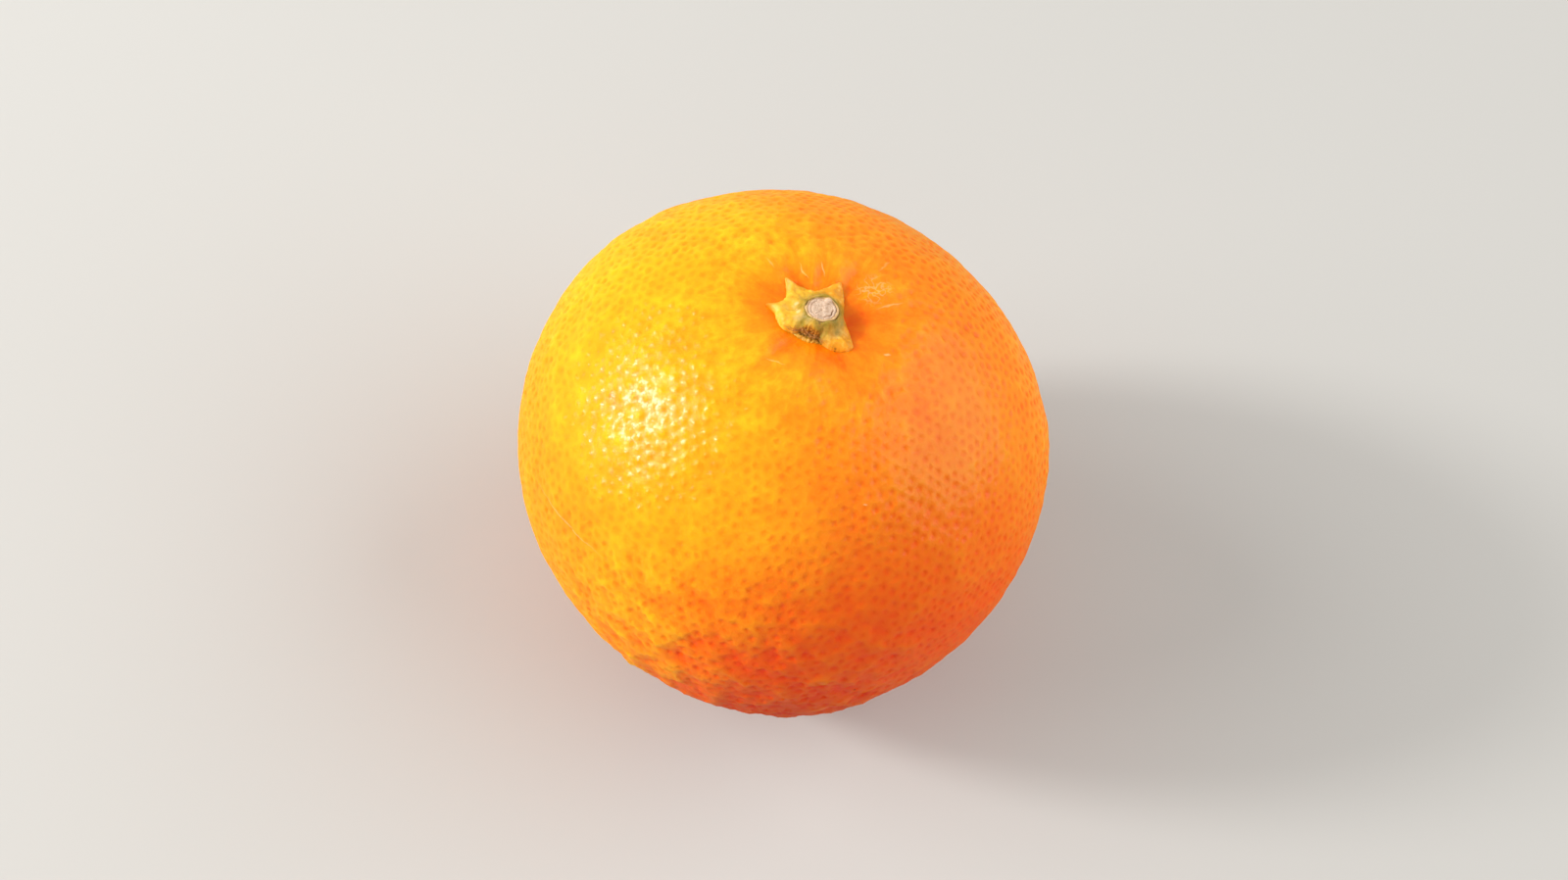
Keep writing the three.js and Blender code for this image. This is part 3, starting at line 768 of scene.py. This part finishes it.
# The frayed fibres: thin curled strands that lie along the torn wall, each from its own
# place and height on it, over so many degrees round the stalk.
FIBRE_COUNT = 30
FIBRE_RADIUS = 0.045 * MM
FIBRE_ARC = (8, 22)
FIBRE_STEPS, FIBRE_SIDES = 9, 5
marks["fibre"] = [0.0] * len(rows)
chance = random.Random(3)
for strand in range(FIBRE_COUNT):
    azimuth = TEAR_MIDDLE + TEAR_HALF * chance.uniform(-0.95, 0.9)
    heading = chance.choice((-1, 1))
    start_height = chance.uniform(0.35, 1.0)
    length = chance.uniform(*FIBRE_ARC)
    tilt = chance.uniform(-0.5, 0.15)
    curl = chance.uniform(-1.0, 1.0)
    base = len(rows)
    for step in range(FIBRE_STEPS):
        share = step / (FIBRE_STEPS - 1)
        along = azimuth + heading * length * share
        *_, brink = sectors[round(along * CALYX_SECTORS / 360) % CALYX_SECTORS]
        edge = calyx_at(along % 360, "edge")
        bearing = unit_direction(along, 0)
        radius = brink + (0.04 + 0.25 * (1 - start_height)) * MM
        radius += 0.12 * MM * math.sin(3 * share + curl)
        height = edge * (start_height + tilt * share) + 0.3 * MM
        height += 0.15 * MM * math.sin(5 * share + 2 * curl)
        place = bearing * radius
        place.z = skin_height(place.x, place.y) + height
        thick = FIBRE_RADIUS * (1 - 0.6 * share) * chance.uniform(0.8, 1.2)
        for side in range(FIBRE_SIDES):
            turn = math.tau * side / FIBRE_SIDES
            rows.append(place + bearing * thick * math.cos(turn)
                        + Vector((0, 0, thick * heading * math.sin(turn))))
            marks["fibre"].append(1.0)
            for name in ("collar", "tear", "warm", "rim"):
                marks[name].append(0.0)
    for quad in rings_to_faces(FIBRE_STEPS, FIBRE_SIDES):
        faces.append(tuple(base + corner for corner in quad))
    faces.append(tuple(base + side for side in range(FIBRE_SIDES)))
    faces.append(tuple(base + FIBRE_STEPS * FIBRE_SIDES - 1 - side for side in range(FIBRE_SIDES)))

calyx_mesh = bpy.data.meshes.new("calyx_lobes")
calyx_mesh.from_pydata(rows, [], faces)
calyx_mesh.shade_smooth()
for name, values in marks.items():
    calyx_mesh.attributes.new(name, "FLOAT", "POINT").data.foreach_set("value", values)

# Where nothing is torn the rows of the ledge fall on one line, and are merged into it.
MERGE_DISTANCE = 0.001 * MM
shell = bmesh.new()
shell.from_mesh(calyx_mesh)
bmesh.ops.remove_doubles(shell, verts=shell.verts, dist=MERGE_DISTANCE)
shell.to_mesh(calyx_mesh)
shell.free()

# Sepals dry to leather: matt and yellow, olive by the stalk, amber on the far lobes and
# at the thin tips, and brown and fibrous where torn. Light passes a little way through,
# which keeps the edges warm.
leather, look, surface = new_material("Dried sepal", {
    "IOR": 1.42, "Specular IOR Level": 0.4, "Subsurface Weight": 0.15,
    "Subsurface Radius": (1.0, 0.5, 0.12), "Subsurface Scale": 0.5 * MM})
spot = add(look, "ShaderNodeTexCoord")["Object"]
blotch = add(look, "ShaderNodeTexNoise",
             {"Vector": spot, "Scale": 1 / (1.2 * MM), "Detail": 4.0, "Roughness": 0.6})[0]
fibre = add(look, "ShaderNodeTexNoise",
            {"Vector": spot, "Scale": 1 / (0.35 * MM), "Detail": 3.0, "Roughness": 0.7})[0]
warm, collar, rim, tear, strand = (
    add(look, "ShaderNodeAttribute", attribute_name=name)["Fac"]
    for name in ("warm", "collar", "rim", "tear", "fibre"))
colour = add(look, "ShaderNodeMix", {0: warm, 6: linear("#EDB42E"), 7: linear("#DE8E12")},
             data_type="RGBA")[2]
for low, high, most, tint in ((0.5, 0.8, 1.0, "#F8D264"), (0.48, 0.2, 0.9, "#CC8414")):
    share = add(look, "ShaderNodeMapRange", {"Value": blotch, "From Min": low, "From Max": high,
                                             "To Max": most})[0]
    colour = add(look, "ShaderNodeMix", {0: share, 6: colour, 7: linear(tint)},
                 data_type="RGBA")[2]
green = add(look, "ShaderNodeMapRange", {"Value": blotch, "From Min": 0.4, "From Max": 0.65})[0]
olive = add(look, "ShaderNodeMix", {0: green, 6: linear("#8E7A20"), 7: linear("#BA943A")},
            data_type="RGBA")[2]
# The brown line round the rim, a painted contact shadow.
rim = add(look, "ShaderNodeMath", [rim, blotch], operation="MULTIPLY")[0]
rim = add(look, "ShaderNodeMapRange", {"Value": rim, "From Min": 0.3, "From Max": 0.6,
                                       "To Max": 0.7})[0]
frayed = add(look, "ShaderNodeMapRange", {"Value": fibre, "From Min": 0.35, "From Max": 0.62})[0]
torn = add(look, "ShaderNodeMix", {0: frayed, 6: linear("#70400E"), 7: linear("#C88A30")},
           data_type="RGBA")[2]
for share, tint in ((collar, olive), (rim, linear("#9A5A1E")), (tear, torn),
                    (strand, linear("#BC8442"))):
    colour = add(look, "ShaderNodeMix", {0: share, 6: colour, 7: tint}, data_type="RGBA")[2]

# Dark specks, and three pale spots left of the collar that are painted highlights: bearing,
# distance from the axis, size and colour of each. The two noises make them ragged and add
# about 0.45 mm to the distance that the edge is set at.
SEPAL_SPECKS_AND_PAINTED_GLINTS = (
    (315, 4.1 * MM, 0.06 * MM, "#A8641C"), (328, 5.2 * MM, 0.1 * MM, "#7A4010"),
    (306, 5.1 * MM, 0.07 * MM, "#5A2A0C"), (320, 5.85 * MM, 0.06 * MM, "#8A5014"),
    # the pale spots at 171, 188 and 200 degrees are painted highlights
    (275, 2.5 * MM, 0.12 * MM, "#7A4A1C"), (171, 3.4 * MM, 0.22 * MM, "#F2C886"),
    (188, 3.2 * MM, 0.15 * MM, "#F2CA8C"), (200, 3.0 * MM, 0.24 * MM, "#F4D090"),
)
for azimuth, radius, size, tint in SEPAL_SPECKS_AND_PAINTED_GLINTS:
    off = add(look, "ShaderNodeVectorMath", [spot, unit_direction(azimuth, 0) * radius],
              operation="SUBTRACT")[0]
    off = add(look, "ShaderNodeVectorMath", [off, (1.0, 1.0, 0.0)], operation="MULTIPLY")[0]
    off = add(look, "ShaderNodeVectorMath", [off], operation="LENGTH")["Value"]
    off = add(look, "ShaderNodeMath", [blotch, 0.5 * MM, off], operation="MULTIPLY_ADD")[0]
    off = add(look, "ShaderNodeMath", [fibre, 0.4 * MM, off], operation="MULTIPLY_ADD")[0]
    share = add(look, "ShaderNodeMapRange",
                {"Value": off, "From Min": size + 0.54 * MM, "From Max": size + 0.38 * MM,
                 "To Max": 0.65}, interpolation_type="SMOOTHSTEP")[0]
    colour = add(look, "ShaderNodeMix", {0: share, 6: colour, 7: linear(tint)},
                 data_type="RGBA")[2]
look.links.new(colour, surface.inputs["Base Color"])
dull = add(look, "ShaderNodeMapRange", {"Value": fibre, "From Min": 0.3, "From Max": 0.7,
                                        "To Min": 0.38, "To Max": 0.55})[0]
look.links.new(dull, surface.inputs["Roughness"])
bump = add(look, "ShaderNodeBump", {"Height": fibre, "Distance": 0.05 * MM, "Strength": 1.0})[0]
look.links.new(bump, surface.inputs["Normal"])
calyx_mesh.materials.append(leather)

calyx = bpy.data.objects.new("calyx_lobes", calyx_mesh)
bpy.context.scene.collection.objects.link(calyx)
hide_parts("calyx")
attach(calyx, "root")


# ---- Stalk stub ----
# The stub is the woody stalk, cut across a little askew just above the calyx when the
# fruit was picked. Its pale wood has dried and shrunk from the bark and checked.

STUB_BASE = skin_height(0, 0) - CALYX_SINK
STUB_TOP = skin_height(0, 0) + 2.95 * MM
STUB_SECTORS = 180
STALK_OVAL, OVAL_TURN = 0.02, 40
FACE_ROWS, TURN_ROWS, SIDE_ROWS = 60, 8, 12
LIP_ROUND = 0.12 * MM

# The cut face: two rings of cracks, one split across them, a dimple of pith and a splinter.
CRACK_RADIUS, CRACK_WIDTH = 1.42 * MM, 0.07 * MM
BARK_RADIUS, BARK_WIDTH = 1.84 * MM, 0.06 * MM
WOOD_END = (1.8 * MM, 1.9 * MM)
SPLIT_BEARING, SPLIT_WIDTH, SPLIT_DEPTH = 245, 0.08 * MM, 0.14 * MM
PITH_RADIUS, PITH_DEPTH = 0.2 * MM, 0.16 * MM
SPLINTER = unit_direction(72, 0) * 1.65 * MM
SPLINTER_RADIUS, SPLINTER_HEIGHT = 0.5 * MM, 0.4 * MM

rows = []
wood = []
for row in range(FACE_ROWS + TURN_ROWS + SIDE_ROWS):
    for sector in range(STUB_SECTORS):
        azimuth = sector * 360 / STUB_SECTORS
        bearing = unit_direction(azimuth, 0)
        outer = STALK_RADIUS * (1 + STALK_OVAL * math.cos(math.radians(2 * azimuth - OVAL_TURN)))
        slant = CUT_SLOPE * math.cos(math.radians(azimuth - CUT_BEARING))
        if row < FACE_ROWS:
            radius = (outer - LIP_ROUND) * ((row + 0.4) / (FACE_ROWS - 0.6))
            drop = 0
        elif row < FACE_ROWS + TURN_ROWS:
            turn = math.radians(90) * (row - FACE_ROWS + 1) / TURN_ROWS
            radius = outer - LIP_ROUND * (1 - math.sin(turn))
            drop = LIP_ROUND * (1 - math.cos(turn))
        else:
            radius = outer
            drop = LIP_ROUND
        height = STUB_TOP + slant * radius - drop
        if row >= FACE_ROWS + TURN_ROWS:
            share = ((row - FACE_ROWS - TURN_ROWS + 1) / SIDE_ROWS) ** 2
            height += (STUB_BASE - height) * share
        here = bearing * radius
        if row < FACE_ROWS:
            # Each ring of cracks is deepest on one side. The depths are in millimetres.
            wander = ripple(bearing * 4 * MM, 1.2 * MM, 0.14 * MM)
            crack = 0.05 + 0.45 * ease(degrees_between(azimuth, -28), 50, 24)
            crack += 0.1 * ease(degrees_between(azimuth, 190), 70, 40)
            off = (radius - CRACK_RADIUS + wander) / CRACK_WIDTH
            height -= crack * MM * math.exp(-off ** 2)
            crack = 0.12 + 0.12 * ease(degrees_between(azimuth, 20), 80, 30)
            off = (radius - BARK_RADIUS + wander) / BARK_WIDTH
            height -= crack * MM * math.exp(-off ** 2)
            split = math.radians((azimuth - SPLIT_BEARING + 180) % 360 - 180) * radius
            split += ripple(here, 0.7 * MM, 0.2 * MM)
            split = math.exp(-(split / SPLIT_WIDTH) ** 2) * ease(radius, 1.5 * MM, 1.1 * MM)
            height -= SPLIT_DEPTH * split
            height -= PITH_DEPTH * math.exp(-(radius / PITH_RADIUS) ** 2)
            height += ripple(here, 0.7 * MM, 0.16 * MM) + ripple(here, 0.2 * MM, 0.05 * MM)
        if row < FACE_ROWS + TURN_ROWS:
            off = (here - SPLINTER).length / SPLINTER_RADIUS
            height += SPLINTER_HEIGHT * math.exp(-off ** 4)
        if row >= FACE_ROWS:
            radius += ripple(Vector((here.x, here.y, height)), 1.1 * MM, 0.12 * MM)
        rows.append(bearing * radius + Vector((0, 0, height)))
        wood.append(1 - ease(radius, *WOOD_END) if row < FACE_ROWS else 0)
faces = rings_to_faces(len(rows) // STUB_SECTORS, STUB_SECTORS)
faces.append(tuple(range(STUB_SECTORS)))
faces.append(tuple(range(len(rows) - 1, len(rows) - 1 - STUB_SECTORS, -1)))
stub_mesh = bpy.data.meshes.new("stalk_wood")
stub_mesh.from_pydata(rows, [], faces)
stub_mesh.shade_smooth()
stub_mesh.attributes.new("wood", "FLOAT", "POINT").data.foreach_set("value", wood)

# Green twig wood dried after the cut: chalky, fibrous end grain in a rim of thin bark.
twig, look, surface = new_material("Cut citrus twig", {"IOR": 1.5, "Specular IOR Level": 0.25})
spot = add(look, "ShaderNodeTexCoord")["Object"]
pores = add(look, "ShaderNodeTexNoise",
            {"Vector": spot, "Scale": 1 / (0.25 * MM), "Detail": 3.0, "Roughness": 0.7})[0]
stain = add(look, "ShaderNodeTexNoise",
            {"Vector": spot, "Scale": 1 / (0.9 * MM), "Detail": 3.0, "Roughness": 0.6})[0]
grainy = add(look, "ShaderNodeMapRange", {"Value": pores, "From Min": 0.3, "From Max": 0.55})[0]
face = add(look, "ShaderNodeMix", {0: grainy, 6: linear("#BA9476"), 7: linear("#D8BCA2")},
           data_type="RGBA")[2]
level = add(look, "ShaderNodeSeparateXYZ", [spot])["Z"]
level = add(look, "ShaderNodeMapRange", {"Value": level, "From Min": STUB_TOP - 0.6 * MM,
                                         "From Max": STUB_TOP - 0.1 * MM},
            interpolation_type="SMOOTHSTEP")[0]
bark = add(look, "ShaderNodeMix", {0: level, 6: linear("#A07C40"), 7: linear("#D9B27C")},
           data_type="RGBA")[2]
is_wood = add(look, "ShaderNodeAttribute", attribute_name="wood")["Fac"]
colour = add(look, "ShaderNodeMix", {0: is_wood, 6: bark, 7: face}, data_type="RGBA")[2]
share = add(look, "ShaderNodeMapRange", {"Value": stain, "From Min": 0.5, "From Max": 0.3,
                                         "To Max": 0.45})[0]
colour = add(look, "ShaderNodeMix", {0: share, 6: colour, 7: linear("#A67A5A")},
             data_type="RGBA")[2]
look.links.new(colour, surface.inputs["Base Color"])
dull = add(look, "ShaderNodeMapRange", {"Value": pores, "From Min": 0.3, "From Max": 0.7,
                                        "To Min": 0.7, "To Max": 0.9})[0]
look.links.new(dull, surface.inputs["Roughness"])
bump = add(look, "ShaderNodeBump", {"Height": pores, "Distance": 0.06 * MM, "Strength": 1.0})[0]
look.links.new(bump, surface.inputs["Normal"])
stub_mesh.materials.append(twig)

stub = bpy.data.objects.new("stalk_wood", stub_mesh)
bpy.context.scene.collection.objects.link(stub)
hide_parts("stalk_stub")
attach(stub, "root")


# ---- Floor, light and camera ----
# A sheet of pale paper that carries the shadow. Beyond it the paper and the world are one
# even pale tone to the camera and in reflections, and light nothing.

SHEET = 2.5
SWEEP_START, SWEEP_END = 0.22, 0.5
PALE, PALE_LEVEL = "#F4F3F1", 0.74
floor_mesh = bpy.data.meshes.new("floor")
floor_mesh.from_pydata([(-SHEET, -SHEET, 0), (SHEET, -SHEET, 0), (SHEET, SHEET, 0),
                        (-SHEET, SHEET, 0)], [], [(0, 1, 2, 3)])
floor = bpy.data.objects.new("floor", floor_mesh)
bpy.context.scene.collection.objects.link(floor)


def is_seen(tree):
    """1 for camera, glossy and transmission rays, and 0 for the rays that carry light."""
    path = add(tree, "ShaderNodeLightPath")
    seen = add(tree, "ShaderNodeMath", [path["Is Camera Ray"], path["Is Glossy Ray"]],
               operation="MAXIMUM")[0]
    return add(tree, "ShaderNodeMath", [seen, path["Is Transmission Ray"]],
               operation="MAXIMUM")[0]


# Matt paper. It sends less light back up than it shows, as a darker table would, and
# beyond the sweep it is one plain tone.
paper, look, surface = new_material("Pale studio paper", {"Roughness": 0.9})
seen = is_seen(look)
shade = add(look, "ShaderNodeMix", {0: seen, 6: linear("#A3A19D"), 7: linear("#C2C0BB")},
            data_type="RGBA")[2]
look.links.new(shade, surface.inputs["Base Color"])
spot = add(look, "ShaderNodeTexCoord")["Object"]
away = add(look, "ShaderNodeVectorMath", [spot], operation="LENGTH")["Value"]
far = add(look, "ShaderNodeMapRange", {"Value": away, "From Min": SWEEP_START,
                                       "From Max": SWEEP_END},
          interpolation_type="SMOOTHSTEP")[0]
far = add(look, "ShaderNodeMath", [far, seen], operation="MULTIPLY")[0]
plain = add(look, "ShaderNodeEmission", {"Color": linear(PALE), "Strength": PALE_LEVEL})[0]
mixed = add(look, "ShaderNodeMixShader", [far, surface.outputs[0], plain])[0]
look.links.new(mixed, look.nodes["Material Output"].inputs["Surface"])
floor_mesh.materials.append(paper)

centre = Vector((0, 0, CENTRE_HEIGHT))

# A broad soft lamp with a small bright one inside it, and a very broad fill opposite.
LAMPS = (
    {"name": "key", "azimuth": -166, "elevation": 27, "distance": 1.4, "width": 1.16, "power": 14},
    {"name": "spark", "azimuth": -165, "elevation": 27, "distance": 1.4, "width": 0.24, "power": 12},
    {"name": "fill", "azimuth": 18, "elevation": 34, "distance": 2.2, "width": 3, "power": 41},
)
for lamp in LAMPS:
    light = bpy.data.lights.new(lamp["name"], "AREA")
    light.shape = "DISK"
    light.size = lamp["width"]
    light.energy = lamp["power"]
    stand = bpy.data.objects.new(lamp["name"], light)
    away = unit_direction(lamp["azimuth"], lamp["elevation"])
    stand.location = centre + away * lamp["distance"]
    stand.rotation_euler = away.to_track_quat("Z", "Y").to_euler()
    bpy.context.scene.collection.objects.link(stand)

SKY_LEVEL = 0.54
world = bpy.data.worlds.new("studio")
world.use_nodes = True
look = world.node_tree
sky = look.nodes["Background"]
sky.inputs["Color"].default_value = linear(PALE)
level = add(look, "ShaderNodeMapRange", {"Value": is_seen(look), "To Min": SKY_LEVEL,
                                         "To Max": PALE_LEVEL})[0]
look.links.new(level, sky.inputs["Strength"])
bpy.context.scene.world = world

# The camera looks down on the fruit from the front, a little rolled and off its centre.
CAMERA_ELEVATION = 58.8
CAMERA_ROLL = math.radians(16)
CAMERA_DISTANCE = 0.240
SENSOR_WIDTH, LENS = 36, 37.8
AIM_UP, AIM_RIGHT = 1.43 * MM, 0.34 * MM
camera_data = bpy.data.cameras.new("camera")
camera_data.sensor_width = SENSOR_WIDTH
camera_data.lens = LENS
camera = bpy.data.objects.new("camera", camera_data)
back = unit_direction(-90, CAMERA_ELEVATION)
level = Vector((1, 0, 0))
raised = back.cross(level)
right = level * math.cos(CAMERA_ROLL) + raised * math.sin(CAMERA_ROLL)
up = raised * math.cos(CAMERA_ROLL) - level * math.sin(CAMERA_ROLL)
aim = centre + AIM_UP * up + AIM_RIGHT * right
turn = camera.matrix_world.to_3x3()
for row in range(3):
    turn[row] = (right[row], up[row], back[row])
camera.matrix_world = turn.to_4x4()
camera.location = aim + back * CAMERA_DISTANCE
bpy.context.scene.collection.objects.link(camera)
bpy.context.scene.camera = camera
bpy.context.scene.view_settings.view_transform = "Standard"
